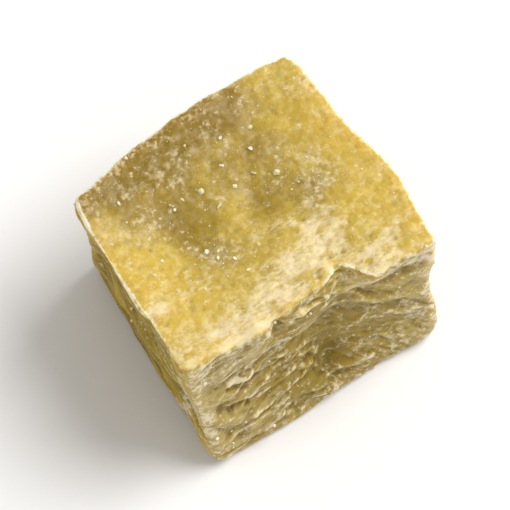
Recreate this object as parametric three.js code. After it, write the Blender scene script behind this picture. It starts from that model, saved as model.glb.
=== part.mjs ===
// A cube of candied sweet potato: a die of the cooked root, steeped in syrup and dried.
// Its faces have sunk between their edges, its sides show the root's layers as ledges and
// creases, and a flake has broken out of the front edge of the top.
// Millimetres, +Z up, +X along the front face. It rests on its flat underside, and the origin
// is the centre of its base.
import * as THREE from "three";
import { ImprovedNoise } from "three/addons/math/ImprovedNoise.js";
import { mergeVertices } from "three/addons/utils/BufferGeometryUtils.js";

// Driving dimensions
const WIDTH = 20.4; // along X
const DEPTH = 18.8; // along Y
const HEIGHT = 19; // along Z
const EDGE_RADIUS = 1;

// The grid that the surface is made of
const SPACING = 0.68; // mean distance between the grid lines of a face
const CROWDING = 0.5; // 0 for even lines, up to 1 for lines that crowd towards the edges

// How far the faces have sunk between their edges
const TOP_SINK = 0.7;
const SIDE_SINK = 0.7;
const SINK_POWER = 4; // the higher, the nearer to its edges a face keeps its full sink

// The layers of the root, as ledges round the sides
const LAYER_PITCH = 3.6;
const LAYER_DEPTH = 0.5;
const LAYER_RISE = [0.09, -0.06]; // height that a layer gains for each mm of X and of Y
const LAYER_WANDER = 2.6; // how far a layer strays up and down
const LAYER_STRENGTH = { mean: 0.4, swing: 1 }; // a layer comes and goes along its length

// Creases of the dried surface, and the lumps of the whole piece
const CREASE_SIZE = 3.4;
const CREASE_DEPTH = 0.45;
const TOP_CREASE_SHARE = 0.3; // the top is smoother than the sides
const RELIEF_POWER = 7; // the higher, the nearer to its edges a side keeps its full relief
// The right half of the front face, where the knife left it smoother, from the piece's middle
const SMOOTH_PATCH = { at: [7.5, -9.4, -1], reach: [5.5, 7, 9], share: 0.8 };
const LUMP_SIZE = 6.5;
const LUMP_HEIGHT = 0.45;
const NOISE_ORIGIN = new THREE.Vector3(31.7, 12.3, 7.9); // where in the noise the piece was cut

// How far the knife and the drying moved each corner, keyed by the signs of X, Y and Z
const CORNER_SHIFTS = {
  "-++": [-0.95, -1.05, 0],
  "+++": [-1, 0.75, 0],
  "+-+": [-0.05, 0.1, -0.2],
  "--+": [-1.6, 1.6, 0],
  "-+-": [1.2, 0.1, 0],
  "++-": [0.7, 0.2, 0],
  "+--": [0, -0.45, 0],
  "---": [0.2, -0.6, 0],
};

// Local forms, in heights above the base: the surface near a point moves by push, and the
// move fades out over reach
const FORMS = [
  // hollows of the top face
  { at: [-3.4, 2.2, HEIGHT], reach: [4.6, 4.2, 5], push: [0, 0, -0.9] },
  { at: [2.6, 0.6, HEIGHT], reach: [3, 2.6, 5], push: [0, 0, -0.55] },
  // the swell between them and the front edge
  { at: [1.6, -4.4, HEIGHT], reach: [3.2, 2, 5], push: [0, 0, 0.4] },
  // the flake lost from the front edge, steep on the right and shallow on the left
  { at: [2.8, -9, HEIGHT], reach: [1.1, 3.4, 3], push: [0, 1.9, -0.5] },
  { at: [4.6, -9, HEIGHT], reach: [0.9, 3, 2.6], push: [-0.3, -0.6, 0] },
  { at: [0, -9, HEIGHT], reach: [2.6, 3.2, 2.6], push: [0, 0.9, -0.3] },
  // the groove that runs down the front face from it
  { at: [2.2, -9, 13.5], reach: [2, 3.6, 3.4], push: [0, 1, 0] },
  { at: [0.8, -9, 9], reach: [2.4, 3.6, 3.6], push: [0, 1.2, 0] },
  // the swollen right and back sides
  { at: [9, -2.4, HEIGHT], reach: [5, 5.5, 7], push: [1.05, 0, 0] },
  { at: [-0.5, 9.2, HEIGHT], reach: [6, 5, 7], push: [0, 0.7, 0] },
  // the waist and the foot of the front right corner
  { at: [10, -9, 12.5], reach: [3, 3, 2.6], push: [-0.5, 0.3, 0] },
  { at: [10.5, -9, 4.5], reach: [3, 3, 3], push: [0.3, -0.4, 0] },
  // the feet of the front and left faces
  { at: [-3.5, -9, 1.5], reach: [5, 4, 4], push: [0, -0.85, 0] },
  { at: [8, -9, 1], reach: [3.2, 4, 4], push: [0, -0.5, 0] },
  { at: [-9, 1, 3], reach: [5, 7.5, 5], push: [-0.95, 0, 0] },
  // the straight upper edges of the left and back faces
  { at: [-9.5, 3.5, HEIGHT], reach: [4, 4, 6], push: [-0.35, 0, 0] },
  { at: [-6.5, 9.2, HEIGHT], reach: [3, 4, 6], push: [0, 0.4, 0] },
];

const half = new THREE.Vector3(WIDTH / 2, DEPTH / 2, HEIGHT / 2);
const noise = new ImprovedNoise();

// 1 at a place, fading out over reach
function nearness(point, at, reach) {
  const away = point.clone().sub(new THREE.Vector3(...at)).divide(new THREE.Vector3(...reach));
  return Math.exp(-away.lengthSq());
}

// Signed noise of about -1 to 1, whose lumps are size mm across
function noiseAt(point, size) {
  const place = point.clone().divideScalar(size).add(NOISE_ORIGIN);
  return noise.noise(place.x, place.y, place.z);
}

// Draws grid lines together towards an edge: takes and gives -1 to 1
function crowd(t) {
  return THREE.MathUtils.lerp(t, Math.sin((t * Math.PI) / 2), CROWDING);
}

// 1 over the middle of a face and 0 on its edges, from the two coordinates across it
function inside(s, t, power) {
  return (1 - Math.abs(s) ** power) * (1 - Math.abs(t) ** power);
}

// The point of the round-edged box under a point of the sharp one, and the direction out of it
function rounded(point) {
  const core = half.clone().subScalar(EDGE_RADIUS);
  const centre = point.clone().clamp(core.clone().negate(), core);
  const out = point.clone().sub(centre).normalize();
  return { place: centre.addScaledVector(out, EDGE_RADIUS), out };
}

// Height of the ledges: each layer swells towards its top and then steps back
function ledge(point) {
  const rise = LAYER_RISE[0] * point.x + LAYER_RISE[1] * point.y;
  const wander = LAYER_WANDER * noiseAt(point, LUMP_SIZE);
  const turn = (2 * Math.PI * (point.z + rise + wander)) / LAYER_PITCH;
  const swing = LAYER_STRENGTH.swing * noiseAt(point.clone().negate(), LUMP_SIZE);
  const strength = Math.max(0, LAYER_STRENGTH.mean + swing);
  return strength * Math.sin(turn + Math.sin(turn) / 2);
}

// How far the surface stands out of the round-edged box, along the direction out. The
// underside has no relief, because it was cut flat and dried lying on it.
function relief(place, out) {
  const share = { x: out.x ** 2, y: out.y ** 2, top: Math.max(0, out.z) ** 2 };
  const [a, b, c] = [place.x / half.x, place.y / half.y, place.z / half.z];
  const overSides = (power) => share.x * inside(b, c, power) + share.y * inside(a, c, power);
  const topSink = TOP_SINK * share.top * inside(a, b, SINK_POWER);
  const sideSink = SIDE_SINK * overSides(SINK_POWER);
  const lumps = LUMP_HEIGHT * noiseAt(place, LUMP_SIZE) * (share.x + share.y + share.top);
  const crease = CREASE_DEPTH * (0.5 - 2 * Math.abs(noiseAt(place, CREASE_SIZE)));
  const layers = LAYER_DEPTH * ledge(place);
  const rough = 1 - SMOOTH_PATCH.share * nearness(place, SMOOTH_PATCH.at, SMOOTH_PATCH.reach);
  const sideRelief = rough * (layers + crease) * overSides(RELIEF_POWER);
  return lumps - topSink - sideSink + sideRelief + TOP_CREASE_SHARE * share.top * crease;
}

// Blends the shifts of the eight corners over the box
function cornerShift(point) {
  const shift = new THREE.Vector3();
  for (const [key, move] of Object.entries(CORNER_SHIFTS)) {
    const [x, y, z] = [...key].map((sign) => (sign === "+" ? 1 : -1));
    const alongX = (1 + (x * point.x) / half.x) / 2;
    const alongY = (1 + (y * point.y) / half.y) / 2;
    const alongZ = (1 + (z * point.z) / half.z) / 2;
    shift.addScaledVector(new THREE.Vector3(...move), alongX * alongY * alongZ);
  }
  return shift;
}

// Moves a point by each of the local forms
function pressed(point) {
  const moved = point.clone();
  for (const { at, reach, push } of FORMS) {
    moved.addScaledVector(new THREE.Vector3(...push), nearness(point, at, reach));
  }
  return moved;
}

// The surface point that belongs to a point of the plain box's grid, which is centred on the
// origin, with the underside on z = 0
function shaped(gridPoint) {
  const crowded = gridPoint.clone().divide(half);
  crowded.set(crowd(crowded.x), crowd(crowded.y), crowd(crowded.z)).multiply(half);
  const { place, out } = rounded(crowded);
  const skewed = place.clone().addScaledVector(out, relief(place, out)).add(cornerShift(place));
  skewed.z += half.z;
  return pressed(skewed).max(new THREE.Vector3(-Infinity, -Infinity, 0));
}

function sweetPotatoCube() {
  const steps = [WIDTH, DEPTH, HEIGHT].map((length) => Math.round(length / SPACING));
  const box = new THREE.BoxGeometry(WIDTH, DEPTH, HEIGHT, ...steps);
  box.deleteAttribute("normal");
  box.deleteAttribute("uv");
  const geometry = mergeVertices(box);
  const position = geometry.getAttribute("position");
  const point = new THREE.Vector3();
  for (let i = 0; i < position.count; i++) {
    point.copy(shaped(point.fromBufferAttribute(position, i)));
    position.setXYZ(i, point.x, point.y, point.z);
  }
  geometry.computeBoundingBox();
  const middle = geometry.boundingBox.getCenter(new THREE.Vector3());
  geometry.translate(-middle.x, -middle.y, 0);
  geometry.computeVertexNormals();
  return geometry;
}

const candiedFlesh = new THREE.MeshStandardMaterial({
  color: "#d9bb66",
  roughness: 0.55,
  metalness: 0,
});

const cube = new THREE.Mesh(sweetPotatoCube(), candiedFlesh);
cube.name = "sweet_potato_cube";

const candiedSweetPotato = new THREE.Group();
candiedSweetPotato.add(cube);

export default candiedSweetPotato;
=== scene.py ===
# Looks of a candied sweet potato cube: moist golden flesh with olive hollows, layered and
# creased sides, cream crust on its edges, and sugar grains stuck all over it.
# Lengths with _MM in their names, the places in the lists, and arrays of points inside the
# shaping functions, are in millimetres. Everything handed to Blender is in metres.
import math
from typing import NamedTuple

import bmesh
import bpy
import numpy as np
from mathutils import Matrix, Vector, noise


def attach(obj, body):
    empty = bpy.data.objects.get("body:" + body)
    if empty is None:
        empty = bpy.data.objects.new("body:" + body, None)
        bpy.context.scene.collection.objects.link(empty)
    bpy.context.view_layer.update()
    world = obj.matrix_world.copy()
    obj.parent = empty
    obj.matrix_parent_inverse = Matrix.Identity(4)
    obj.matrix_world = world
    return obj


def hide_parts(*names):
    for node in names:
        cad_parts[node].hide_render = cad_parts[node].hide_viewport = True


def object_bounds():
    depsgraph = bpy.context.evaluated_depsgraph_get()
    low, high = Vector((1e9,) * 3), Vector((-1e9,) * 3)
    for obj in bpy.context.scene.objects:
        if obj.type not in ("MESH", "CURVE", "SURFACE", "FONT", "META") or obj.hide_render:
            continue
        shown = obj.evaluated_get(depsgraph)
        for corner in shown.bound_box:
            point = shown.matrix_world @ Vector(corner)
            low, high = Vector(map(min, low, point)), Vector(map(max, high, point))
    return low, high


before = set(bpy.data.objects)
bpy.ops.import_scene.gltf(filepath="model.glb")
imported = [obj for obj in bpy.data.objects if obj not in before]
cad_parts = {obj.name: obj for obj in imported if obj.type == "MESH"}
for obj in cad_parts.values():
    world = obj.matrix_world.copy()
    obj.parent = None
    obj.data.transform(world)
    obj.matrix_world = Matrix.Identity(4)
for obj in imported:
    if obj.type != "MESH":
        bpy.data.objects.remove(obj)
cad_low, cad_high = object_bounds()

MM = 0.001
NODE = "sweet_potato_cube"
TOP_MM = cad_high.z / MM

# Camera: the cube seen from its front left, well above it
CAMERA_AZIMUTH = math.radians(-33)
CAMERA_ELEVATION = math.radians(70)
CAMERA_DISTANCE = 0.283
CAMERA_TARGET = Vector((0.0003, 0.00025, 0.0095))
CLIP_START = 0.01
FRAME_WIDTH = 0.0392  # what the picture spans at the target
SENSOR_WIDTH_MM = 36

# Light and floor
WORLD_COLOUR = (1.0, 0.975, 0.95)
WORLD_STRENGTH = 0.55
KEY_AZIMUTH = math.radians(78)
KEY_ELEVATION = math.radians(60)
KEY_DISTANCE = 0.6
KEY_SIZE = 0.36
KEY_WATTS = 3.0
FLOOR_REACH = 3.0
FLOOR_COLOUR = (0.9, 0.9, 0.9)
FLOOR_ROUGHNESS = 0.9

# The fine mesh of the flesh
WELD_DISTANCE = 1e-7
SUBDIVISIONS = 2
VOXEL_MM = 0.17
SMOOTH_FACTOR = 0.5
SMOOTH_ROUNDS = 12

# Rounds of averaging that tell what stands out of its surroundings, from wide to narrow
EDGE_ROUNDS = 70
FOLD_ROUNDS = 30
THREAD_ROUNDS = 6

# The noises: how far apart in them two seeds in a row look, and how much weaker and how many
# times finer each octave is
SEED_STEP = (7.31, 3.17, 5.53)
OCTAVE_FALL = 0.7
OCTAVE_STEP = 2.0


class Lumps(NamedTuple):
    """A noise: how high and how wide its lumps are, its seed and its octaves."""

    height: float
    size: float
    seed: int
    octaves: int = 1


# Noises of the relief, in millimetres
SLOW_BENDS = Lumps(0.9, 5.5, seed=1)
QUICK_BENDS = Lumps(0.3, 1.9, seed=2)
PIT_PATTERN = Lumps(1, 1.1, seed=6)
SIDE_GRAIN = Lumps(0.07, 0.75, seed=7, octaves=2)
TOP_LUMPS = Lumps(0.14, 2.2, seed=8, octaves=2)
TOP_FIBRES = Lumps(0.045, 0.6, seed=9)
TOP_GRAIN = Lumps(0.07, 0.7, seed=10, octaves=2)
EDGE_CRUST = Lumps(0.07, 0.9, seed=11, octaves=3)
LIP_LUMPS = Lumps(0.18, 1.5, seed=12)
LIP_CRUMBS = Lumps(0.14, 0.7, seed=13, octaves=2)
TOP_CRUST = Lumps(0.14, 0.8, seed=14, octaves=3)
# Noises along the layers: their sizes are in layers
FLAKE_WANDER = Lumps(0.65, 1, seed=4)
THREADS = Lumps(0.09, 1, seed=16, octaves=2)
BANDS = Lumps(0.8, 1, seed=25, octaves=2)
# Noises of a strength or a share
LAYER_STRENGTH = Lumps(1.2, 3.4, seed=3)
TORN_STRENGTH = Lumps(0.9, 1.6, seed=15)
OLIVE_PATCHES = Lumps(0.18, 2.8, seed=21, octaves=3)
CREAM_PATCHES = Lumps(0.3, 1.3, seed=22, octaves=3)
SUGAR_PATCHES = Lumps(0.35, 2.0, seed=23, octaves=2)
GOLD_PATCHES = Lumps(0.25, 3.5, seed=24, octaves=2)
GRAIN_CLUMPS = Lumps(1, 0.9, seed=31)

# The layers: how thick they are, how high their edges stand, and over what share of its
# thickness a layer swells before it steps back
THICK_PITCH_MM = 2.6
THICK_HEIGHT_MM = 0.13
THICK_SHARE = 0.82
FLAKE_PITCH_MM = 1.25
FLAKE_HEIGHT_MM = 0.22
FLAKE_SHARE = 0.66
THREAD_PITCH_MM = 0.55
BAND_PITCH_MM = 0.85
SWELL_POWER = 1.6  # the higher, the later a layer swells
LAYER_SINK = 0.3  # of the surface, as a share of a layer's height
LAYER_FALL = (0.09, -0.06)  # how far a layer falls for each millimetre of X and of Y
FRONT_FALL = -0.08  # the same along X on the front, left of the groove
GROOVE_X_MM = 0.8
GROOVE_FALL = (0.3, 1.05)  # how much more the layers fall right of it, on top and from LOW_MM down
LOW_MM = 6
BEND_SHARPNESS = 1.5  # the higher, the tighter the layers bend down at the groove
LAYER_LENGTH_MM = 4.8  # length of the features along the layers
FRONT_SHORTENING_MM = 2.2  # how much shorter they are on the front

# How strong the layers and the torn ridges are on the whole, and at least and most
MEAN_STRENGTH = 0.55
STRENGTH_RANGE = (0.08, 1.25)
MEAN_TORN = 0.9
TORN_RANGE = (0.2, 1.6)

# Where a zone starts and is full: in how far the surface faces its way, in how far it stands
# out as an edge, or in height
FACING = (0.3, 0.8)
NEAR_EDGE = (0.08, 0.3)
RIM_HEIGHTS = (14, 16)
TOP_HEIGHTS = (14.5, 16.5)
ABOVE_BASE = (0.05, 0.8)
# The rim: how far up the surface faces along its middle, and how far from that it fades out
FRONT_RIM = (0.66, 0.16)
RIGHT_RIM = (0.7, 0.26)
LEFT_RIM = (0.84, 0.14)

PIT_DEPTH_MM = 0.12
RIM_HEIGHT_MM = 0.14
RIDGE_WIDTH_MM = 0.38
RIDGE_PUSH_MM = 0.3
GROOVE_DROP_MM = 1.0  # how far below its ridge a groove runs

# The fibres of the top: the way they run, and how many times longer than wide they are
FIBRE_RUN = (0.545, 0.839)
FIBRE_STRETCH = 5

# The height of the streaks over the top, and how far its patches reach up and down
TOP_STREAK_MM = 18.3
TOP_REACH_MM = 4

# Local forms of the front face: where a ridge or a groove starts and ends, how wide it is, and
# how far it pushes the surface out
FRONT_STROKES = [
    # a short bright ridge over a dark groove
    ((1.9, -9.2, 3.7), (4.6, -9.6, 2.9), 0.4, 0.5),
    ((1.2, -9.3, 2.9), (3.4, -9.7, 2.2), 0.3, -0.25),
    # the folds that fan out to the right from the notch
    ((4.8, -8.2, 14.9), (8.6, -9.1, 15.8), 1.0, -0.4),
    ((4.2, -8.3, 13.1), (9.6, -9.3, 9.6), 0.7, 0.25),
    ((4.3, -8.3, 10.9), (7.6, -8.6, 9.0), 0.6, -0.25),
    ((4.1, -8.2, 9.2), (8.8, -9.1, 6.6), 0.6, 0.2),
]
# The ridges that stand out of the left half of the front, each over a groove of its own
FRONT_RIDGES = [
    ((-7.5, -8.2, 12.2), (-5.0, -8.0, 11.4)),
    ((-7.8, -8.5, 8.6), (-6.5, -8.6, 8.9)),
    ((-6.1, -8.7, 8.2), (-4.2, -8.2, 9.4)),
    ((-5.9, -9.4, 5.5), (-2.7, -9.0, 5.9)),
    ((-5.3, -9.8, 2.2), (-3.7, -9.8, 2.6)),
    ((-2.8, -8.0, 11.3), (-0.3, -7.8, 9.8)),
    ((-2.3, -8.8, 5.7), (0.0, -8.3, 5.2)),
    ((-1.2, -8.4, 6.8), (-0.2, -8.3, 6.3)),
    ((-0.2, -8.3, 6.3), (0.4, -8.8, 4.4)),
    ((-1.0, -8.0, 8.2), (0.2, -7.8, 7.7)),
    ((0.2, -7.8, 7.7), (0.5, -8.2, 6.3)),
    ((-1.1, -7.6, 17.0), (1.9, -7.5, 16.4)),
]
# The folds that fan out over the right half of the front: painted light along their lit ridges, and
# painted shade in their grooves
PAINTED_LIGHT_FOLDS = [((3.5, -7.8, 13.1), (9.7, -9.2, 9.4)), ((4.2, -8.1, 9.1), (8.8, -9.1, 6.8))]
PAINTED_SHADE_FOLDS = [
    ((4.5, -8.2, 15.4), (8.5, -9.0, 15.7)),
    ((4.2, -7.9, 10.9), (7.4, -8.8, 9.4)),
    ((2.4, -7.8, 8.0), (6.7, -8.8, 6.0)),
]
# Knobs and pits: where they are, how far they reach, and how far they push the surface out
KNOBS = [
    # the hollows and swells of the top
    ((-4.4, 2.4, 18), (1.9, 2.2, 3), -0.3),
    ((1.6, 1.0, 18), (1.5, 1.5, 3), -0.3),
    ((-1.1, 1.6, 18), (0.9, 2.4, 3), 0.15),
    ((1.4, -3.2, 18), (2.6, 1.5, 3), 0.2),
    # the front
    ((1.5, -8.3, 5.4), (1.5, 2.5, 1.5), -0.6),
    ((2.8, -7.5, 8.8), (1.8, 2.5, 2.0), 0.55),
    ((-2.8, -8.0, 16.4), (0.7, 1.6, 2.0), -0.8),
    ((-4.4, -8.0, 17.8), (1.0, 1.4, 0.9), 0.4),
    ((-10.2, -9.2, 4.5), (2.0, 2.0, 5.0), 0.35),
    ((8.0, -9.4, 1.5), (4.0, 2.0, 2.0), 0.3),
    ((0.9, -10.0, 2.0), (0.6, 0.8, 0.5), 0.3),
    ((-8.5, -8.7, 8.4), (0.8, 1.0, 0.8), -0.45),
    ((-7.3, -9.8, 3.1), (0.7, 1.0, 0.6), -0.35),
    ((10.2, -9.3, 12.5), (3.0, 3.0, 2.2), 0.25),
    # the blunt back right corner
    ((8.9, 9.9, 18.5), (1.2, 1.2, 4.0), -0.3),
]

# Named places of the surface: centre and reach
TORN_LIP = ((-1.5, -8.2, 18), (8, 2, 1.6))
WORN_RIM = ((-4, -8.5, 18), (8, 3, 3))
LEFT_RIM_END = ((-10.3, -7.6, 18), (2.0, 2.6, 3))
SMOOTH_CORNER = ((-10.2, -8.8, 11), (2.2, 2.6, 9))
PALE_CORNER = ((-10.2, -8.8, 9), (2.0, 2.6, 9))
# painted light on the notch and its wall, which face away from the light
NOTCH_LIGHT = ((3.0, -6.9, 16.6), (1.6, 1.6, 1.6))
NOTCH_WALL_LIGHT = ((4.2, -7.7, 15.7), (1.0, 1.7, 2.0))
# the recess: darkened with painted shade, with a little amber
RECESS = ((1.6, -8.3, 6.0), (1.2, 2.0, 1.6))
RIGHT_LIP = ((10.0, -8.9, 16.5), (2.2, 2.5, 3.0))
UNDER_RIGHT_LIP = ((6.0, -8.8, 9.5), (3.2, 3.0, 7.5))
# Named lines of the surface: start, end and width
LEFT_LIP = ((-9.5, -8.2, 17.2), (-1.8, -7.8, 17.0), 1.8)
# where a painted shadow lies under the overhanging rim of the left side
UNDER_LEFT_RIM_SHADOW = ((-9.9, 7.4, 15.8), (-10.9, -1.5, 16.0), 1.5)
POCKET = ((-2.7, -7.8, 17.4), (-2.9, -8.1, 14.4), 0.8)
# a cleft darkened with painted shade
CLEFT = ((1.8, -8.0, 6.4), (1.0, -8.6, 4.6), 0.6)

# Patches of the top: X, Y, how far they reach along X and along Y, and weight
# Olive in the hollows of the top: partly the flesh's own olive, partly painted shade
HOLLOWS = [
    (-4.6, 2.9, 2.3, 2.6, 0.87),
    (1.7, 0.9, 2.0, 1.8, 0.8),
    (3.3, 4.5, 2.4, 2.2, 0.7),
    (-3.4, -0.8, 1.7, 1.5, 0.3),
    (6.1, 0.1, 1.7, 2.0, 0.5),
    # the upper left: partly a painted shadow of a neighbouring piece
    (-6.0, 6.0, 4.0, 2.0, 0.75),
    (-4.8, 5.8, 1.6, 1.4, -0.4),
    (0.0, 5.2, 1.3, 1.9, 0.45),
    (-2.4, 6.3, 1.0, 1.0, 0.25),
    (7.3, 3.7, 1.3, 1.5, 0.3),
    (0.4, -2.3, 0.8, 0.8, 0.2),
    (0.8, 3.1, 0.8, 0.9, 0.2),
    (-2.7, 4.6, 0.8, 2.0, 0.22),
    (7.8, 2.5, 0.9, 1.1, 0.2),
    (4.6, 0.6, 0.8, 1.6, 0.15),
    (-1.4, -6.6, 0.6, 0.5, 0.4),
    (0.3, -7.2, 1.2, 0.5, 0.35),
    (-5.4, -1.3, 1.0, 0.8, 0.15),
    (4.1, 1.9, 0.9, 0.9, 0.2),
    (4.7, -0.8, 1.2, 1.2, 0.35),
    (8.0, 0.6, 1.3, 2.8, 0.3),
]
SUGAR_CLUSTERS = [
    (-3.6, -0.6, 1.3, 1.2, 1.5),
    (6.2, 0.3, 1.2, 1.5, 1.5),
    (9.8, -1.3, 0.6, 0.4, 0.8),
    (-1.8, 3.3, 0.8, 0.9, 0.6),
    (5.9, 2.6, 0.9, 1.1, 0.8),
    (-5.5, 5.5, 3.5, 2.5, 0.4),
    (-7.2, 4.2, 1.5, 1.2, 0.4),
    (-4.3, 2.9, 1.6, 1.6, -0.45),
    (3.2, 7.4, 1.6, 1.0, -0.35),
    (-9.3, 4.4, 1.0, 1.2, -0.35),
]
AMBER_PATCHES = [(7.4, 5.8, 1.1, 1.6, 0.2)]
# Streaks over the top: X and Y of both ends, width and weight
CRUST_STREAKS = [
    (2.7, -4.9, -0.8, -5.6, 1.1, 1),
    (-0.8, -5.8, -5.8, -7.0, 1.3, 1),
    (-5.8, -7.0, -9.4, -6.1, 1.6, 0.58),
    (6.8, -8.4, 4.6, -8.0, 1.5, 1.2),
    (3.8, -1.6, 2.9, -4.4, 1.0, 0.9),
    (2.6, -3.2, -2.0, -4.2, 1.1, 0.6),
    (5.0, -2.8, 4.2, -6.6, 0.9, 0.75),
    (9.4, -6.3, 6.4, -6.6, 1.0, 0.6),
    (-10.0, -2.3, -6.2, -2.4, 0.7, 0.62),
    (-10.0, -7.0, -10.6, -7.8, 1.0, 0.7),
    (-0.4, -1.1, 1.4, -1.2, 0.6, 0.7),
    (0.2, -2.3, 0.9, -2.3, 0.6, -0.35),
    (-3.8, -0.6, -3.3, -0.6, 0.5, 0.4),
    (1.6, -1.2, 2.5, -1.5, 0.6, 0.9),
    (0.6, -6.3, 1.9, -6.4, 0.7, 0.65),
    (-10.1, -1.6, -10.6, -4.2, 0.8, 0.7),
]
GOLD_STREAKS = [
    (8.4, 5.0, 9.4, -5.6, 2.6, 0.75),
    (-8.9, 1.5, -7.9, -5.5, 2.2, 1),
    (1.0, 4.0, -1.2, 0.6, 0.8, 0.15),
]
# Patches of the sides: centre, reach and weight
DIM_PATCHES = [
    ((1.0, -8.5, 7.0), (3.5, 3.5, 4.5), 1),
    ((-1.2, -8.3, 7.5), (2.2, 3.0, 4.5), 1.1),
    ((0.3, -7.6, 15.5), (1.8, 2.5, 2.5), 0.5),
    ((0.1, -8.5, 4.6), (1.0, 2.0, 1.5), 0.4),
    ((4.7, -8.6, 6.4), (1.2, 2.0, 2.6), 0.6),
    ((6.8, -8.8, 13.5), (1.5, 2.0, 1.8), 0.2),
    ((4.2, -9.7, 1.4), (2.2, 1.5, 1.0), 0.35),
    ((2.3, -7.2, 16.6), (0.9, 1.3, 0.9), 0.25),
]
CREAM_SPOTS = [
    ((1.0, -10.0, 2.1), (0.6, 0.8, 0.5), 0.15),
    ((-10.6, -2.6, 14.0), (1.5, 1.8, 4.5), 0.5),
    ((-9.0, -8.3, 15.3), (1.6, 2.0, 1.8), 0.4),
    # painted light on the top of the notch's wall
    ((4.0, -7.2, 17.3), (0.7, 0.8, 1.0), 0.4),
    ((-2.5, -8.0, 12.7), (1.1, 1.5, 0.8), 0.6),
    ((-0.3, -8.8, 4.6), (1.5, 2.0, 1.9), -0.3),
    ((4.4, -8.8, 5.4), (1.0, 2.0, 1.3), -0.2),
    ((-4.5, -9.9, 0.9), (1.5, 1.5, 1.0), -0.2),
    ((9.3, -9.3, 6.0), (1.1, 2.0, 3.0), 0.3),
    ((-2.0, -9.0, 5.0), (2.0, 2.5, 3.5), 0.12),
    ((-9.9, -5.8, 5.5), (1.5, 1.6, 4.5), 1.1),
    ((-9.4, 6.5, 7.5), (1.5, 1.2, 2.0), 0.3),
    ((-9.8, -1.6, 8.0), (1.5, 2.6, 3.2), 0.8),
]
# Streaks of the sides: start, end, width and weight
CREAM_STREAKS = [
    ((4.6, -8.2, 17.2), (8.4, -8.5, 18.4), 1.1, 0.35),
    ((-8.0, -8.3, 12.6), (-2.0, -8.0, 12.8), 0.8, 0.35),
    ((2.2, -9.7, 1.6), (5.4, -9.8, 1.6), 1.0, -0.2),
]
# Widths of the colours along the ridges, grooves and folds of the front: cream on the ridges,
# partly a painted highlight; painted shade in the grooves; painted light and painted shade on the
# folds
RIDGE_CREAM_AND_HIGHLIGHT_MM = 0.35
GROOVE_SHADE_MM = 0.45
LIGHT_FOLD_MM = 0.7
SHADE_FOLD_MM = 0.9


class Loose(NamedTuple):
    """Loose sugar: how many grains, their least and greatest size, how deep they are sunk as a
    share of their size, and how strongly they gather where the sugar is thick."""

    count: int
    least_mm: float
    greatest_mm: float
    sunk: float
    gathering: float


DUST = Loose(count=700, least_mm=0.06, greatest_mm=0.14, sunk=0.6, gathering=1.5)
CRYSTALS = Loose(count=210, least_mm=0.14, greatest_mm=0.36, sunk=0.4, gathering=3.0)
SEED = 7
SMALL_POWER = 3  # the higher, the more of the grains are small
STRETCH = (0.45, 1.4)  # least and greatest stretch of a grain along each axis
JITTER = 0.12  # how far a grain's corners stray, as a share of its size
LEAST_LIKELIHOOD = 0.05  # of a grain where there is no sugar
SINGLES_ABOVE = 0.8  # of the height of the top: single grains lie nowhere lower
# Single grains on the top: X and Y, and size
SINGLE_GRAINS = np.array([
    (1.4, 6.9, 0.4),
    (3.0, 5.0, 0.42),
    (3.7, 2.5, 0.62),
    (2.2, 3.4, 0.45),
    (-2.0, 4.2, 0.42),
    (-1.5, 2.5, 0.5),
    (0.4, 5.0, 0.32),
    (-4.1, -0.1, 0.44),
    (-2.8, -1.8, 0.4),
    (-3.4, -0.6, 0.3),
    (-3.9, -1.1, 0.27),
    (-3.0, -1.0, 0.25),
    (-2.5, -3.1, 0.36),
    (5.3, -0.4, 0.42),
    (-8.6, 0.2, 0.36),
    (-4.5, 4.6, 0.36),
    (-7.7, 6.6, 0.34),
    (3.9, 6.4, 0.36),
    (-10.0, 4.0, 0.38),
])

# Colours of the flesh, of what lies on it, and of painted shade
FLESH = (0.56, 0.404, 0.065)
GOLD = (0.62, 0.434, 0.066)
PALE = (0.69, 0.543, 0.19)  # lumps
OLIVE = (0.235, 0.142, 0.001)  # dark of the top, partly painted shade in its hollows
SHADE = (0.285, 0.193, 0.012)  # dark of the sides
CREAM = (0.78, 0.643, 0.33)  # pale of the top
ASH = (0.79, 0.693, 0.49)  # pale of the sides
SIDE = (0.47, 0.325, 0.02)
HUSK = (0.43, 0.33, 0.13)  # dull skin of the sides
PAINTED_SHADE = (0.14, 0.088, 0.004)  # painted shade in crevices, under the left rim and between crystals
AMBER = (0.40, 0.27, 0.012)  # moist pockets
CRUST = (0.775, 0.66, 0.405)
# the pale rim along the top's edges: sugar crust, and partly a painted highlight
RIM = (0.93, 0.88, 0.7)
FROST = (0.75, 0.634, 0.39)  # sugar grown into the surface
CLEAR_SUGAR = (0.87, 0.80, 0.59)
WARM_SUGAR = (0.80, 0.69, 0.41)


class Pattern(NamedTuple):
    """A noise of a material: the size of its lumps, its detail and its roughness."""

    size_mm: float
    detail: float = 2
    roughness: float = 0.5


MOTTLE = Pattern(1.3, detail=4, roughness=0.6)
SPECK = Pattern(0.42, detail=3, roughness=0.65)
PALE_LUMPS = Pattern(0.7, detail=3, roughness=0.6)
GRIT = Pattern(0.45, roughness=0.6)
GRIT_PATCHES = Pattern(2.2)
VEINS = Pattern(1.2, detail=3, roughness=0.6)
CRUST_PATCHES = Pattern(0.8, detail=3, roughness=0.6)
GAP_SHADE_NOISE = Pattern(0.42, roughness=0.6)
FLECKS = Pattern(0.55, roughness=0.6)
FINEST_GRAIN = Pattern(0.22, detail=3, roughness=0.6)
CREST_WAVES = Pattern(1 / MM, detail=1)  # lumps one unit wide, in the space of the crests
GRAIN_SHADES = Pattern(0.9)


class Cover(NamedTuple):
    """How a look covers the flesh: the attribute that says where, how far the coarse and the
    fine noise break up its outline, where it starts and is full, and how much it covers."""

    attribute: str
    mottle: float
    speck: float
    start: float
    full: float
    most: float = 1.0


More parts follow.
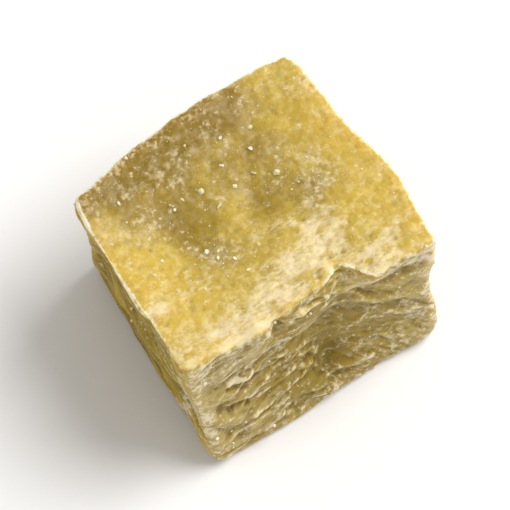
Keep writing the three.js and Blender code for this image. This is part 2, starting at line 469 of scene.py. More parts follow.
GOLD_COVER = Cover("gold", mottle=0.5, speck=0.2, start=0.1, full=0.9)
HUSK_COVER = Cover("husk", mottle=0.8, speck=0.4, start=0.2, full=1.0, most=0.72)
OLIVE_COVER = Cover("olive", mottle=0.6, speck=0.9, start=0.0, full=1.15, most=0.93)
CREAM_COVER = Cover("cream", mottle=1.4, speck=2.6, start=0.2, full=1.05, most=0.85)
CREST_COVER = Cover("fibre", mottle=1.5, speck=0, start=0.6, full=1.0)
RIM_COVER = Cover("rim", mottle=1.0, speck=1.7, start=0.22, full=1.05, most=0.95)
GAP_SHADE_COVER = Cover("sugar", mottle=0.8, speck=0, start=0.6, full=1.05, most=0.45)
SIDE_SHARE = 0.8
CREVICE_SHADE_SHARE = 0.55
CREST_SHARE = 0.27

# Lines where a noise crosses zero: how far from zero they reach
CREST_REACH = 0.075
VEIN_REACH = 0.08
# Crests along the layers: how long they are, and how far apart
CREST_LENGTH_MM = 2.4
CREST_PITCH_MM = 0.9
CRUST_SQUEEZE = (0.45, 1, 1)  # makes the crust's features longer along X

# Crystals that have grown into the surface, and how ragged their outlines are
COARSE_CRYSTAL_MM = 0.5
SMALL_CRYSTAL_MM = 0.26
CRYSTAL_SHARE = 0.3  # of the places for one, where the sugar is full
RAG_SIZE_MM = 0.3
RAG_REACH_MM = 0.25

BUMP_DEPTH_MM = 0.07
BUMP_STRENGTH = 0.6


# Places and noises


def direction(azimuth, elevation):
    """The unit vector that points from the object to a place at these angles."""
    flat = math.cos(elevation)
    return Vector((math.sin(azimuth) * flat, -math.cos(azimuth) * flat, math.sin(elevation)))


def smoothstep(start, full, values):
    """0 up to start and 1 from full on. Where full is the lower, it falls as values rise."""
    t = np.clip((values - start) / (full - start), 0, 1)
    return t * t * (3 - 2 * t)


def band(values, centre, width):
    """1 where the values are at the centre, fading out over width."""
    return np.exp(-(((values - centre) / width) ** 2))


def field(points, lumps):
    """A noise at the points, of about its height up and down."""
    places = [Vector(place) for place in points / lumps.size + lumps.seed * np.array(SEED_STEP)]
    if lumps.octaves == 1:
        values = [noise.noise(place) for place in places]
    else:
        values = [noise.fractal(place, OCTAVE_FALL, OCTAVE_STEP, lumps.octaves) for place in places]
    return lumps.height * np.array(values)


def blob(points, centre, reach):
    """1 at the centre, fading out over reach along each axis."""
    away = (points - np.array(centre)) / np.array(reach)
    return np.exp(-(away ** 2).sum(axis=1))


def stroke(points, start, end, width):
    """1 along the line from start to end, fading out over width around it."""
    start, along = np.array(start), np.array(end) - np.array(start)
    share = np.clip((points - start) @ along / (along @ along), 0, 1)
    away = points - start - share[:, None] * along
    return np.exp(-(away ** 2).sum(axis=1) / width ** 2)


def strongest(points, lines, width, drop=0):
    """The strongest of the strokes along the lines, moved down by drop."""
    low = np.array([0, 0, drop])
    each = [stroke(points, start - low, end - low, width) for start, end in np.array(lines)]
    return np.max(each, axis=0)


def blobs(points, patches):
    """The sum of a list of blobs, each times its weight."""
    return sum(weight * blob(points, centre, reach) for centre, reach, weight in patches)


def strokes(points, lines):
    """The sum of a list of strokes, each times its weight."""
    return sum(weight * stroke(points, start, end, width) for start, end, width, weight in lines)


def top_blobs(points, patches):
    """The sum of a list of patches of the top."""
    placed = [
        ((x, y, TOP_MM), (reach_x, reach_y, TOP_REACH_MM), weight)
        for x, y, reach_x, reach_y, weight in patches
    ]
    return blobs(points, placed)


def top_strokes(points, lines):
    """The sum of a list of streaks over the top."""
    placed = [
        ((x, y, TOP_STREAK_MM), (to_x, to_y, TOP_STREAK_MM), width, weight)
        for x, y, to_x, to_y, width, weight in lines
    ]
    return strokes(points, placed)


# The fine mesh


def linked(name, data):
    """A new object in the scene."""
    piece = bpy.data.objects.new(name, data)
    bpy.context.scene.collection.objects.link(piece)
    return piece


def fine_copy(source, name):
    """A new object with the CAD node's form, in even quads about a voxel wide."""
    mesh = source.data.copy()
    welded = bmesh.new()
    welded.from_mesh(mesh)
    bmesh.ops.remove_doubles(welded, verts=welded.verts, dist=WELD_DISTANCE)
    bmesh.ops.join_triangles(
        welded, faces=welded.faces, angle_face_threshold=math.pi, angle_shape_threshold=math.pi
    )
    welded.to_mesh(mesh)
    welded.free()
    rounded = linked("rounded", mesh)
    rounded.modifiers.new("rounded", "SUBSURF").levels = SUBDIVISIONS
    piece = linked(name, mesh)
    remesh = piece.modifiers.new("even", "REMESH")
    remesh.mode = "VOXEL"
    remesh.voxel_size = VOXEL_MM * MM
    smooth = piece.modifiers.new("smooth", "SMOOTH")
    smooth.factor = SMOOTH_FACTOR
    smooth.iterations = SMOOTH_ROUNDS
    piece.modifiers.new("onto_rounded", "SHRINKWRAP").target = rounded
    evaluated = piece.evaluated_get(bpy.context.evaluated_depsgraph_get())
    piece.data = bpy.data.meshes.new_from_object(evaluated)
    piece.data.name = name
    piece.modifiers.clear()
    piece.data.materials.clear()
    piece.data.shade_smooth()
    bpy.data.objects.remove(rounded)
    return piece


def points_of(mesh):
    """Where the mesh's vertices are, in millimetres."""
    flat = np.empty(len(mesh.vertices) * 3)
    mesh.vertices.foreach_get("co", flat)
    return flat.reshape(-1, 3) / MM


def normals_of(mesh):
    """Which way the surface faces at the mesh's vertices."""
    flat = np.empty(len(mesh.vertices) * 3)
    mesh.vertex_normals.foreach_get("vector", flat)
    return flat.reshape(-1, 3)


def averaged(mesh, values, rounds):
    """Values of the vertices after rounds of averaging with their neighbours."""
    ends = np.empty(len(mesh.edges) * 2, dtype=np.int32)
    mesh.edges.foreach_get("vertices", ends)
    a, b = ends.reshape(-1, 2).T
    count = len(values)
    degree = np.bincount(ends, minlength=count)
    for _ in range(rounds):
        total = np.stack(
            [np.bincount(a, v[b], count) + np.bincount(b, v[a], count) for v in values.T], axis=1
        )
        values = (values + total / degree[:, None]) / 2
    return values


def stands_out(mesh, rounds):
    """How far each vertex stands out of its surroundings, in millimetres."""
    points = points_of(mesh)
    return ((points - averaged(mesh, points, rounds)) * normals_of(mesh)).sum(axis=1)


# The relief of the flesh


def top_crust(points):
    """Where cream crust lies on the top, mostly along its front edge."""
    return np.minimum(top_strokes(points, CRUST_STREAKS), 1)


def rim_of(points, normals):
    """Where the pale rim lies that runs along the edges of the top: sugar crust, and partly a
    painted highlight.
    """
    y, z = points[:, 1], points[:, 2]
    right, up = normals[:, 0], normals[:, 2]
    rim = band(up, *FRONT_RIM) * (1 - 0.85 * blob(points, *WORN_RIM))
    rim *= 1 - 0.6 * smoothstep(-5, -7, y)
    rim = np.maximum(rim, band(up, *RIGHT_RIM) * smoothstep(0.15, 0.5, right))
    rim = np.maximum(rim, 0.95 * band(up, *LEFT_RIM) * smoothstep(0.15, 0.45, -right))
    rim *= 1 - 0.9 * blob(points, *LEFT_RIM_END)
    return rim * smoothstep(*RIM_HEIGHTS, z)


def layer_level(points, front):
    """The height of each point in the pile of layers. On the front they rise to the groove and
    fall away on its right; elsewhere they lie nearly level."""
    x, y, z = points.T
    lying = z + LAYER_FALL[0] * x + LAYER_FALL[1] * y
    past_groove = np.logaddexp(0, (x - GROOVE_X_MM) * BEND_SHARPNESS) / BEND_SHARPNESS
    on_top, low_down = GROOVE_FALL
    fall = on_top + (low_down - on_top) * smoothstep(TOP_MM, LOW_MM, z)
    folded = z + FRONT_FALL * x + fall * past_groove
    level = lying + (folded - lying) * front
    return level + field(points, SLOW_BENDS) + field(points, QUICK_BENDS)


def along_layers(points, level, front, pitch):
    """The points in a space where the layers lie flat, one unit thick. Their features are
    longer off the front."""
    length = LAYER_LENGTH_MM - FRONT_SHORTENING_MM * front
    return np.column_stack([points[:, 0] / length, points[:, 1] / length, level / pitch])


def along_fibres(points):
    """The points in a space where the fibres of the top are as long as they are wide."""
    x, y, z = points.T
    run_x, run_y = FIBRE_RUN
    along = (run_x * x + run_y * y) / FIBRE_STRETCH
    return np.column_stack([run_y * x - run_x * y, along, z])


def sheets(level, pitch, share):
    """Each layer swells towards its top over share of its thickness, then steps back."""
    phase = np.mod(level / pitch, 1)
    return phase ** SWELL_POWER * (1 - smoothstep(share, 1, phase)) - LAYER_SINK


def layer_relief(points, level, front):
    """Thick layers, and thinner ones whose torn edges wander, fork and end along them."""
    places = along_layers(points, level, front, FLAKE_PITCH_MM)
    wander = FLAKE_PITCH_MM * field(places, FLAKE_WANDER)
    thick = THICK_HEIGHT_MM * sheets(level, THICK_PITCH_MM, THICK_SHARE)
    return thick + FLAKE_HEIGHT_MM * sheets(level + wander, FLAKE_PITCH_MM, FLAKE_SHARE)


def side_relief(points, level, front, near_edge):
    """Layers, threads, pits and grain of the sides, smoother by the edges, on the corner
    between front and left, and on the right half of the front."""
    x, y, z = points.T
    corner = blob(points, *SMOOTH_CORNER) * front
    front_right = smoothstep(2, 5, x) * smoothstep(-4, -7, y)
    strength = np.clip(MEAN_STRENGTH + field(points, LAYER_STRENGTH), *STRENGTH_RANGE)
    strength *= (1 - 0.45 * near_edge) * (1 - 0.75 * corner) * (1 - 0.75 * front_right)
    strength *= 1 - 0.7 * (1 - front) * smoothstep(15, 17.5, z)
    threads = field(along_layers(points, level, front, THREAD_PITCH_MM), THREADS)
    threads *= (1 - 0.8 * corner) * (1 - 0.5 * near_edge)
    pits = PIT_DEPTH_MM * smoothstep(0.25, 0.6, field(points, PIT_PATTERN))
    pits *= (0.15 + 0.85 * front) * (1 - 0.9 * front_right)
    grain = field(points, SIDE_GRAIN) * (0.4 + 0.6 * front)
    return strength * layer_relief(points, level, front) + threads - pits + grain


def ridge_relief(points):
    """The torn ridges of the front, each with its groove."""
    torn = RIDGE_PUSH_MM * np.clip(MEAN_TORN + field(points, TORN_STRENGTH), *TORN_RANGE)
    ridges = strongest(points, FRONT_RIDGES, RIDGE_WIDTH_MM)
    return torn * (ridges - strongest(points, FRONT_RIDGES, RIDGE_WIDTH_MM, GROOVE_DROP_MM))


def add_relief(mesh):
    """Gives the smooth mesh its fine shape. Returns what the looks need of the smooth one: how
    far its edges stand out, its layers' heights, how far it faces front, and its rim."""
    points, normals = points_of(mesh), normals_of(mesh)
    z, up = points[:, 2], normals[:, 2]
    top = np.maximum(up, 0) ** 2
    sides = 1 - up ** 2
    front = smoothstep(*FACING, -normals[:, 1])
    edge = stands_out(mesh, EDGE_ROUNDS)
    near_edge = smoothstep(*NEAR_EDGE, edge)
    level = layer_level(points, front)
    rim = rim_of(points, normals)

    push = sides * side_relief(points, level, front, near_edge)
    push += ridge_relief(points) + blobs(points, KNOBS)
    push += strokes(points, FRONT_STROKES) * (1 - top)
    push += top * (field(points, TOP_LUMPS) + field(points, TOP_GRAIN))
    push += top * field(along_fibres(points), TOP_FIBRES)
    push += top * top_crust(points) * field(points, TOP_CRUST)
    push += RIM_HEIGHT_MM * rim + near_edge * field(points, EDGE_CRUST)
    push += blob(points, *TORN_LIP) * (field(points, LIP_LUMPS) + field(points, LIP_CRUMBS))
    push *= smoothstep(*ABOVE_BASE, z)

    moved = points + normals * push[:, None]
    moved[:, 2] = np.maximum(moved[:, 2], 0)
    mesh.vertices.foreach_set("co", (moved * MM).ravel())
    mesh.update()
    return edge, level, front, rim


# Where each look shows, as attributes of the flesh


class Zones:
    """How far each point belongs to the parts of the surface, and stands out of it."""

    def __init__(self, mesh, edge, level, front, rim):
        self.points = points_of(mesh)
        self.edge, self.level, self.front, self.rim = edge, level, front, rim
        x, y, z = self.points.T
        normals = normals_of(mesh)
        up = normals[:, 2]
        self.above_base = smoothstep(0, 1.2, z)
        self.top = smoothstep(0.4, 0.85, up) * smoothstep(*TOP_HEIGHTS, z)
        self.side = 1 - self.top
        self.facing_up = smoothstep(0.2, 0.7, up)
        self.corner = blob(self.points, *PALE_CORNER) * self.side
        self.left = smoothstep(*FACING, -normals[:, 0]) * (1 - self.corner)
        # the back of the top, on its left: olive there is partly a painted shadow of a neighbouring
        # piece
        self.back = smoothstep(5.6, 9, y) * (1 - smoothstep(2, 7, x))
        self.foot = 1 - smoothstep(0.5, 3, z)
        self.low_front = (1 - smoothstep(2, 7, z)) * front
        self.dim = blobs(self.points, DIM_PATCHES)
        self.gold = top_strokes(self.points, GOLD_STREAKS)
        self.lip = stroke(self.points, *LEFT_LIP)
        self.right_lip = blob(self.points, *RIGHT_LIP)
        # painted light: the notch and its wall are made lighter and warmer
        self.notch = blob(self.points, *NOTCH_LIGHT)
        self.notch_wall_light = blob(self.points, *NOTCH_WALL_LIGHT)
        self.recess = blob(self.points, *RECESS)
        self.pocket = 1.3 * stroke(self.points, *POCKET) + 0.2 * self.recess
        self.pocket += top_blobs(self.points, AMBER_PATCHES)
        self.threads = stands_out(mesh, THREAD_ROUNDS)
        self.folds = stands_out(mesh, FOLD_ROUNDS)


def olive_look(zones):
    """Olive in the hollows of the top and in the valleys, grooves and dim parts of the sides:
    partly the flesh's own olive and partly painted shade, and painted shade in the grooves and dark
    folds. Along the back of the top it is partly a painted shadow of a neighbouring piece.
    """
    points, front = zones.points, zones.front
    # along the back the olive is partly a painted shadow of a neighbouring piece
    hollows = top_blobs(points, HOLLOWS) + 1.3 * zones.back
    on_top = 0.24 + 0.9 * hollows - 0.75 * zones.gold
    # the valleys between folds: olive that is partly painted shade
    on_sides = 0.3 + 0.75 * smoothstep(0.04, -0.08, zones.folds) + 0.3 * (1 - front)
    on_sides += field(along_layers(points, zones.level, front, BAND_PITCH_MM), BANDS)
    on_sides += 1.5 * zones.dim + 0.45 * zones.foot - 0.9 * zones.corner - 0.1 * zones.left
    olive = zones.top * on_top + zones.side * on_sides
    # painted shade in the grooves of the folds
    olive += 0.9 * strongest(points, PAINTED_SHADE_FOLDS, SHADE_FOLD_MM)
    # painted shade in the groove under each ridge
    olive += 0.5 * strongest(points, FRONT_RIDGES, GROOVE_SHADE_MM, GROOVE_DROP_MM)
    # painted light: less olive on the notch and its wall
    olive -= 0.8 * np.minimum(zones.notch + zones.notch_wall_light, 1)
    return olive + field(points, OLIVE_PATCHES)


def cream_look(zones):
    """Cream on the threads and ridges of the sides, and on their pale places. On what stands out it
    is partly the flakes' own pale colour and partly a painted highlight; on the pale folds and on
    the notch and its wall it is painted light.
    """
    points, dim = zones.points, zones.dim
    threads = smoothstep(0.005, 0.05, zones.threads) * zones.side
    ridges = strongest(points, FRONT_RIDGES, RIDGE_CREAM_AND_HIGHLIGHT_MM)
    # cream on the threads that stand out: partly a painted highlight
    cream = 0.66 * threads * (1 - 0.3 * dim) * (1 - 0.8 * zones.left)
    # cream on the ridges, partly a painted highlight
    cream += 0.4 * ridges * (1 - 0.35 * np.minimum(dim, 1.5))
    # painted light along the ridges of the folds
    cream += 0.27 * strongest(points, PAINTED_LIGHT_FOLDS, LIGHT_FOLD_MM)
    cream += blobs(points, CREAM_SPOTS) + strokes(points, CREAM_STREAKS)
    cream += 0.3 * zones.lip + 0.7 * zones.right_lip * zones.side
    # painted light: cream on the notch and its wall
    cream += 0.1 * zones.notch + 0.75 * zones.notch_wall_light
    cream += 0.1 * zones.corner + 0.24 * zones.low_front
    cream -= 0.35 * zones.left + 0.6 * zones.pocket
    return (cream + field(points, CREAM_PATCHES)) * zones.above_base


def crevice_shade_look(zones):
    """Painted shade: dark in the gaps between threads and folds, in the recess and the cleft of the
    front, and a painted shadow under the rim of the left side.
    """
    points = zones.points
    # painted shadow under the overhanging rim
    under_rim_shadow = stroke(points, *UNDER_LEFT_RIM_SHADOW) * zones.left * (1 - zones.rim)
    crevice_shade = 0.7 * smoothstep(-0.02, -0.14, zones.folds)
    crevice_shade += 0.75 * smoothstep(0, -0.04, zones.threads)
    crevice_shade += 1.3 * under_rim_shadow + 0.6 * zones.recess + 1.3 * stroke(points, *CLEFT)
    crevice_shade *= (1 - 0.6 * zones.top) * (1 - 0.5 * zones.lip) * (1 - 0.6 * zones.right_lip)
    # less painted shade on the notch's wall
    return crevice_shade * (1 - 0.7 * zones.notch_wall_light) * (1 + 0.5 * zones.dim)


def sugar_look(zones):
    """Frost of sugar, thickest in clusters on the top and along its back."""
    clusters = top_blobs(zones.points, SUGAR_CLUSTERS) + 0.38 * zones.back
    sugar = zones.top * (0.12 + 0.75 * clusters) + 0.07 * zones.side
    sugar += 0.2 * smoothstep(0.1, 0.3, zones.edge)
    return sugar + field(zones.points, SUGAR_PATCHES)


def husk_look(zones):
    """The dull skin of the sides."""
    husk = zones.side * (0.5 + 0.5 * zones.front) * (1 - 0.4 * zones.left)
    # painted light: less dull skin on the notch and its wall
    husk *= (1 - 0.8 * zones.notch) * (1 - 0.8 * zones.notch_wall_light)
    return husk * (1 - 0.8 * blob(zones.points, *UNDER_RIGHT_LIP))


def fibre_look(zones):
    """Where crests show along the layers."""
    fibre = zones.side * (0.3 + 0.7 * zones.front) * (1 - smoothstep(*NEAR_EDGE, zones.edge))
    fibre *= (1 - zones.right_lip) * (1 - 0.75 * zones.corner)
    return fibre * (1 - 0.5 * np.minimum(zones.dim, 1))


def add_masks(mesh, edge, level, front, rim):
    """Stores how strong each look is at each vertex, and the layers' heights."""
    zones = Zones(mesh, edge, level, front, rim)
    crust = zones.facing_up * top_crust(zones.points)
    looks = {
        "gold": zones.top * zones.gold + field(zones.points, GOLD_PATCHES),
        "olive": olive_look(zones),
        "cream": cream_look(zones),
        "crust": 0.1 * zones.top + 0.5 * crust + 0.25 * zones.lip,
        "rim": rim,
        "crevice_shade": crevice_shade_look(zones),
        "pocket": zones.pocket,
        "sugar": sugar_look(zones),
        # painted light: less of the side colour on the notch's wall
        "side": zones.side * (1 - 0.7 * zones.notch_wall_light),
        "husk": husk_look(zones),
        "fibre": fibre_look(zones),
    }
    for name, values in looks.items():
        store(mesh, name, np.clip(values, 0, 1))
    store(mesh, "layer", level)


def store(mesh, name, values):
    attribute = mesh.attributes.new(name, "FLOAT", "POINT")
    attribute.data.foreach_set("value", values.astype(np.float32))


# Materials


class Tree:
    """Adds shader nodes to a new material, with links by socket name."""

    def __init__(self, name):
        self.material = bpy.data.materials.new(name)
        self.material.use_nodes = True
        self.nodes = self.material.node_tree.nodes
        self.links = self.material.node_tree.links
        self.nodes.clear()

    def add(self, kind, values=None, **settings):
        """A new node, with a value or a link for each input that is named."""
        node = self.nodes.new(kind)
        for key, value in settings.items():
            setattr(node, key, value)
        for socket, value in (values or {}).items():
            if isinstance(value, bpy.types.NodeSocket):
                self.links.new(value, node.inputs[socket])
            else:
                node.inputs[socket].default_value = value
        return node

    def finished(self, values):
        """The material, its surface a Principled shader with these values."""
        shader = self.add("ShaderNodeBsdfPrincipled", values)
        self.add("ShaderNodeOutputMaterial", {"Surface": shader.outputs["BSDF"]})
        return self.material

    def place(self):
        return self.add("ShaderNodeTexCoord").outputs["Object"]

    def attribute(self, name):
        return self.add("ShaderNodeAttribute", attribute_name=name).outputs["Fac"]

    def math(self, operation, a, b=0.0):
        return self.add("ShaderNodeMath", {0: a, 1: b}, operation=operation).outputs[0]

    def plus(self, a, b):
        return self.math("ADD", a, b)

    def times(self, a, b):
        return self.math("MULTIPLY", a, b)

    def larger(self, a, b):
        return self.math("MAXIMUM", a, b)

    def noise(self, place, pattern):
        """Noise of about 0.3 to 0.7."""
        values = {
            "Vector": place,
            "Scale": 1 / (pattern.size_mm * MM),
            "Detail": pattern.detail,
            "Roughness": pattern.roughness,
        }
        return self.add("ShaderNodeTexNoise", values).outputs["Fac"]

    def centred(self, value):
        """The noise moved to about -0.2 to 0.2."""
        return self.math("SUBTRACT", value, 0.5)

    def lines(self, waves, reach):
        """1 where the waves cross zero, fading out over reach up and down."""
        return self.ramp(self.math("ABSOLUTE", waves), 0.0, reach, to_low=1.0, to_high=0.0)

    def ramp(self, value, low, high, to_low=0.0, to_high=1.0):
        """A soft step from to_low to to_high, as the value goes from low to high."""
        values = {
            "Value": value,
            "From Min": low,
            "From Max": high,
            "To Min": to_low,
            "To Max": to_high,
        }
        node = self.add("ShaderNodeMapRange", values, interpolation_type="SMOOTHSTEP")
        return node.outputs["Result"]

    def ragged(self, place, size_mm, reach_mm):
        """The place moved about by noise, so that what is drawn there has a ragged outline."""
        shifts = self.add("ShaderNodeTexNoise", {"Vector": place, "Scale": 1 / (size_mm * MM)})
        reach = (2 * reach_mm * MM,) * 3
        values = {0: shifts.outputs["Color"], 1: reach, 2: place}
        return self.add("ShaderNodeVectorMath", values, operation="MULTIPLY_ADD").outputs[0]

    def crystals(self, place, size_mm, share):
        """Dots of about that size, in a share of the places for one."""
        values = {"Vector": place, "Scale": 1 / (size_mm * MM)}
        cells = self.add("ShaderNodeTexVoronoi", values)
        draw = self.add("ShaderNodeSeparateColor", {"Color": cells.outputs["Color"]}).outputs["Red"]
        present = self.ramp(self.math("SUBTRACT", share, draw), -0.02, 0.02)
        dot = self.ramp(cells.outputs["Distance"], 0.1, 0.5, to_low=1.0, to_high=0.0)
        return self.times(dot, present)

    def mix(self, share, low, high):
        """The colour low with a share of the colour high over it."""
        node = self.add("ShaderNodeMix", {"Factor": share}, data_type="RGBA")
        for socket, value in (("A", low), ("B", high)):
            target = [s for s in node.inputs if s.name == socket and s.type == "RGBA"][0]
            if isinstance(value, bpy.types.NodeSocket):
                self.links.new(value, target)
            else:
                target.default_value = (*value, 1)
        return [s for s in node.outputs if s.type == "RGBA"][0]


class FleshTree(Tree):
    """The nodes of the flesh, whose attributes have their outlines broken up by two noises."""

    def __init__(self):
        super().__init__("candied_flesh")
        self.at = self.place()
        self.mottle = self.centred(self.noise(self.at, MOTTLE))
        self.speck = self.centred(self.noise(self.at, SPECK))
        self.side = self.attribute("side")

    def level(self, name, mottle_share, speck_share):
        """An attribute with its outline broken up."""
        value = self.plus(self.attribute(name), self.times(self.mottle, mottle_share))
        return self.plus(value, self.times(self.speck, speck_share))

    def cover(self, look):
        """How much a look covers."""
        value = self.level(look.attribute, look.mottle, look.speck)
        return self.ramp(value, look.start, look.full, to_high=look.most)

    def crests(self):
        """Thin crests along the layers of the sides."""
        parts = self.add("ShaderNodeSeparateXYZ", {"Vector": self.at}).outputs
        along = [self.times(parts[axis], 1 / (CREST_LENGTH_MM * MM)) for axis in ("X", "Y")]
        across = self.times(self.attribute("layer"), 1 / CREST_PITCH_MM)
        stretched = self.add("ShaderNodeCombineXYZ", {"X": along[0], "Y": along[1], "Z": across})
        waves = self.centred(self.noise(stretched.outputs["Vector"], CREST_WAVES))
        return self.times(self.lines(waves, CREST_REACH), self.cover(CREST_COVER))

    def pale_lumps(self, flesh):
        """The flesh with pale lumps."""
        share = self.ramp(self.noise(self.at, PALE_LUMPS), 0.47, 0.68, to_high=0.75)
        return self.mix(share, flesh, PALE)

    def grit(self, flesh):
        """The flesh with bright grit, thick in some patches, and olive pits between it."""
        grit = self.noise(self.at, GRIT)
        patches = self.noise(self.at, GRIT_PATCHES)
        thickness = self.ramp(patches, 0.35, 0.65, to_low=0.05, to_high=0.65)
        flesh = self.mix(self.times(self.ramp(grit, 0.46, 0.8), thickness), flesh, CREAM)
        return self.mix(self.ramp(grit, 0.24, 0.48, to_low=0.2, to_high=0.0), flesh, OLIVE)

    def crust(self):
        """Pale crust, in veins and patches."""
        values = {0: self.at, 1: CRUST_SQUEEZE}
        streaky = self.add("ShaderNodeVectorMath", values, operation="MULTIPLY").outputs[0]
        veins = self.lines(self.centred(self.noise(streaky, VEINS)), VEIN_REACH)
        patches = self.ramp(self.noise(streaky, CRUST_PATCHES), 0.34, 0.7)
        marbling = self.times(self.larger(self.times(veins, 0.8), patches), 0.5)
        return self.ramp(self.plus(self.level("crust", 0.8, 0.4), marbling), 0.45, 1.2)

    def gaps(self):
        """Painted shade in the gaps between the crystals where the sugar is thickest."""
        gaps = self.ramp(self.noise(self.at, GAP_SHADE_NOISE), 0.4, 0.52, to_low=1.0, to_high=0.0)
        return self.times(gaps, self.cover(GAP_SHADE_COVER))

    def grown_crystals(self, sugar):
        """Ragged crystals of two sizes that have grown into the surface."""
        ragged = self.ragged(self.at, RAG_SIZE_MM, RAG_REACH_MM)
        share = self.times(sugar, CRYSTAL_SHARE)
        coarse = self.crystals(ragged, COARSE_CRYSTAL_MM, share)
        small = self.crystals(ragged, SMALL_CRYSTAL_MM, share)
        return self.larger(coarse, self.times(small, 0.8))

    def frost(self, sugar, crystals):
        """How white the sugar makes the surface: a soft bloom, the crystals and pale flecks."""
        bloom = self.ramp(sugar, 0.5, 1.3, to_high=0.22)
        flecks = self.ramp(self.noise(self.at, FLECKS), 0.42, 0.72)
        flecks = self.times(flecks, self.ramp(sugar, 0.1, 0.75))
        frost = self.larger(bloom, self.times(crystals, 0.85))
        return self.larger(frost, self.times(flecks, 0.8))

    def bump(self, crystals, crest):
        """The normal of the finest grain, the crystals and the crests."""
        grain = self.noise(self.at, FINEST_GRAIN)
        height = self.plus(self.times(grain, 0.5), self.times(crystals, 0.8))
        height = self.plus(height, self.times(crest, 1.2))
        values = {"Height": height, "Strength": BUMP_STRENGTH, "Distance": BUMP_DEPTH_MM * MM}
        return self.add("ShaderNodeBump", values).outputs["Normal"]


def flesh_material():
    tree = FleshTree()
    crest = tree.crests()
    sugar = tree.level("sugar", 1.2, 0.6)
    crystals = tree.grown_crystals(sugar)
    dark = tree.mix(tree.side, OLIVE, SHADE)
    pale = tree.mix(tree.side, CREAM, ASH)

    colour = tree.mix(tree.cover(GOLD_COVER), FLESH, GOLD)
    colour = tree.grit(tree.pale_lumps(colour))
    colour = tree.mix(tree.times(tree.side, SIDE_SHARE), colour, SIDE)
    colour = tree.mix(tree.cover(HUSK_COVER), colour, HUSK)
    colour = tree.mix(tree.cover(OLIVE_COVER), colour, dark)
    # painted shade in the creases, the recess and the cleft, and under the left rim
    colour = tree.mix(tree.times(tree.attribute("crevice_shade"), CREVICE_SHADE_SHARE), colour, PAINTED_SHADE)
    colour = tree.mix(tree.attribute("pocket"), colour, AMBER)
    colour = tree.mix(tree.cover(CREAM_COVER), colour, pale)
    colour = tree.mix(tree.times(crest, CREST_SHARE), colour, pale)
    colour = tree.mix(tree.crust(), colour, CRUST)
    # the rim: sugar crust, and partly a painted highlight
    colour = tree.mix(tree.cover(RIM_COVER), colour, RIM)
    # painted shade between the crystals
    colour = tree.mix(tree.gaps(), colour, PAINTED_SHADE)
    colour = tree.mix(tree.frost(sugar, crystals), colour, FROST)
    return tree.finished(
        {
            "Base Color": colour,
            "Roughness": tree.ramp(tree.mottle, -0.2, 0.2, to_low=0.45, to_high=0.65),
            "Normal": tree.bump(crystals, crest),
            "IOR": 1.46,
            "Specular IOR Level": 0.22,
            "Coat Weight": 0.12,
            "Coat Roughness": 0.15,
            "Subsurface Weight": 0.85,
            "Subsurface Radius": (1.0, 0.75, 0.32),
            "Subsurface Scale": 1.5 * MM,
        }
    )


def sugar_material():
    tree = Tree("sugar_grains")
    shade = tree.noise(tree.place(), GRAIN_SHADES)
    return tree.finished(
        {
            "Base Color": tree.mix(tree.ramp(shade, 0.35, 0.65), CLEAR_SUGAR, WARM_SUGAR),
            "Roughness": tree.ramp(shade, 0.3, 0.7, to_low=0.12, to_high=0.3),
            "IOR": 1.54,
            "Subsurface Weight": 0.3,
            "Subsurface Radius": (1.0, 0.9, 0.7),
            "Subsurface Scale": 0.2 * MM,
        }
    )


# Sugar grains


def random_turns(rng, count):
    """Random rotation matrices, from unit quaternions."""
    quaternions = rng.normal(size=(count, 4))
    w, x, y, z = quaternions.T / np.linalg.norm(quaternions, axis=1)
    rows = [
        [1 - 2 * (y * y + z * z), 2 * (x * y - z * w), 2 * (x * z + y * w)],
        [2 * (x * y + z * w), 1 - 2 * (x * x + z * z), 2 * (y * z - x * w)],
        [2 * (x * z - y * w), 2 * (y * z + x * w), 1 - 2 * (x * x + y * y)],
    ]
    return np.moveaxis(np.array(rows), -1, 0)


def scatter(mesh, rng, count, likelihood):
    """Points on the mesh's faces, and the normals there, drawn by area times likelihood."""
    mesh.calc_loop_triangles()
    corners = np.empty(len(mesh.loop_triangles) * 3, dtype=np.int32)
    mesh.loop_triangles.foreach_get("vertices", corners)
    corners = corners.reshape(-1, 3)
    points = points_of(mesh)[corners]
    cross = np.cross(points[:, 1] - points[:, 0], points[:, 2] - points[:, 0])
    area = np.linalg.norm(cross, axis=1)
    weights = area * likelihood[corners].mean(axis=1)
    chosen = rng.choice(len(corners), size=count, p=weights / weights.sum())
    shares = rng.dirichlet((1, 1, 1), size=count)
    return (points[chosen] * shares[:, :, None]).sum(axis=1), cross[chosen] / area[chosen, None]


def pebble():
    """The corners and faces of a rough ball, one unit across."""
    ball = bmesh.new()
    bmesh.ops.create_icosphere(ball, subdivisions=1, radius=0.5)
    corners = np.array([corner.co for corner in ball.verts])
    faces = np.array([[corner.index for corner in face.verts] for face in ball.faces])
    ball.free()
    return corners, faces


def nearest_on_top(mesh, spots):
    """Points of the top and their normals, nearest to the X and Y of each spot."""
    points, normals = points_of(mesh), normals_of(mesh)
    upper = np.flatnonzero(points[:, 2] > SINGLES_ABOVE * TOP_MM)
    away = points[upper, None, :2] - spots[None, :, :2]
    nearest = upper[(away ** 2).sum(axis=2).argmin(axis=0)]
    return points[nearest], normals[nearest]


def grain_likelihood(flesh, gathering):
    """How likely a grain is at each vertex: in clumps, where there is sugar, and not beneath."""
    sugar = np.empty(len(flesh.data.vertices))
    flesh.data.attributes["sugar"].data.foreach_get("value", sugar)
    points = points_of(flesh.data)
    clumps = smoothstep(-0.15, 0.45, field(points, GRAIN_CLUMPS))
    on_show = smoothstep(0.3, 1, points[:, 2])
    on_show *= smoothstep(-0.8, -0.4, normals_of(flesh.data)[:, 2])
    return (LEAST_LIKELIHOOD + clumps * sugar ** gathering) * on_show


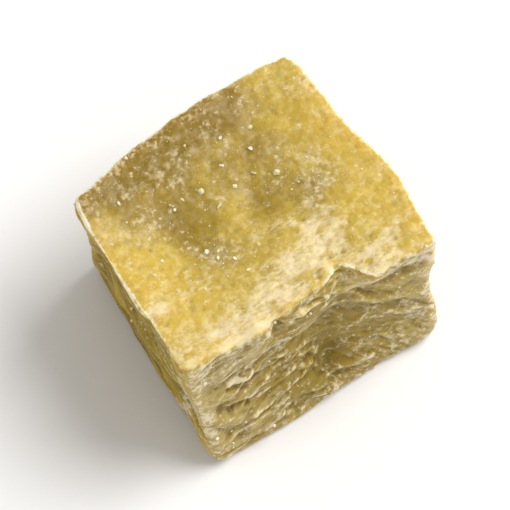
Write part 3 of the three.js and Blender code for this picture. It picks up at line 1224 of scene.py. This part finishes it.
def grains(name, flesh, rng, loose, material, singles=None):
    """One mesh of many small crumbs of sugar, with single ones at chosen places."""
    likelihood = grain_likelihood(flesh, loose.gathering)
    places, normals = scatter(flesh.data, rng, loose.count, likelihood)
    spread = loose.greatest_mm - loose.least_mm
    size = loose.least_mm + spread * rng.random(loose.count) ** SMALL_POWER
    if singles is not None:
        spots, spot_normals = nearest_on_top(flesh.data, singles)
        places = np.vstack([places, spots])
        normals = np.vstack([normals, spot_normals])
        size = np.append(size, singles[:, 2])
    count = len(size)
    ball, faces = pebble()
    stretch = rng.uniform(*STRETCH, size=(count, 1, 3))
    jitter = rng.uniform(-JITTER, JITTER, size=(count, len(ball), 3))
    corners = (ball * stretch + jitter) * size[:, None, None]
    corners = np.einsum("nij,nkj->nki", random_turns(rng, count), corners)
    centres = places + normals * (size * (0.5 - loose.sunk))[:, None]
    corners = (corners + centres[:, None, :]) * MM
    mesh = bpy.data.meshes.new(name)
    all_faces = faces[None] + len(ball) * np.arange(count)[:, None, None]
    mesh.from_pydata(corners.reshape(-1, 3).tolist(), [], all_faces.reshape(-1, 3).tolist())
    mesh.materials.append(material)
    return linked(name, mesh)


# Surroundings


def add_floor():
    mesh = bpy.data.meshes.new("floor")
    signs = [(-1, -1), (1, -1), (1, 1), (-1, 1)]
    corners = [(x * FLOOR_REACH, y * FLOOR_REACH, 0) for x, y in signs]
    mesh.from_pydata(corners, [], [(0, 1, 2, 3)])
    values = {"Base Color": (*FLOOR_COLOUR, 1), "Roughness": FLOOR_ROUGHNESS}
    mesh.materials.append(Tree("floor").finished(values))
    floor = linked("floor", mesh)


def add_light():
    """A round soft light, turned to the origin."""
    light = bpy.data.lights.new("key", "AREA")
    light.shape = "DISK"
    light.size = KEY_SIZE
    light.energy = KEY_WATTS
    lamp = linked("key", light)
    away = direction(KEY_AZIMUTH, KEY_ELEVATION)
    lamp.location = away * KEY_DISTANCE
    lamp.rotation_euler = away.to_track_quat("Z", "Y").to_euler()


def add_world():
    world = bpy.data.worlds.new("studio")
    world.use_nodes = True
    background = world.node_tree.nodes["Background"]
    background.inputs["Color"].default_value = (*WORLD_COLOUR, 1)
    background.inputs["Strength"].default_value = WORLD_STRENGTH
    bpy.context.scene.world = world


def add_camera():
    data = bpy.data.cameras.new("camera")
    data.sensor_width = SENSOR_WIDTH_MM
    data.lens = SENSOR_WIDTH_MM * CAMERA_DISTANCE / FRAME_WIDTH
    data.clip_start = CLIP_START
    camera = linked("camera", data)
    back = direction(CAMERA_AZIMUTH, CAMERA_ELEVATION)
    camera.location = CAMERA_TARGET + back * CAMERA_DISTANCE
    camera.rotation_euler = (-back).to_track_quat("-Z", "Y").to_euler()
    bpy.context.scene.camera = camera


add_camera()
add_floor()
add_world()
add_light()
bpy.context.scene.view_settings.view_transform = "Standard"

flesh = fine_copy(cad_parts[NODE], "candied_flesh")
add_masks(flesh.data, *add_relief(flesh.data))
flesh.data.materials.append(flesh_material())
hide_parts(NODE)

rng = np.random.default_rng(SEED)
sugar = sugar_material()
dust = grains("sugar_dust", flesh, rng, DUST, sugar)
crystals = grains("sugar_crystals", flesh, rng, CRYSTALS, sugar, SINGLE_GRAINS)
for piece in (flesh, dust, crystals):
    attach(piece, "root")
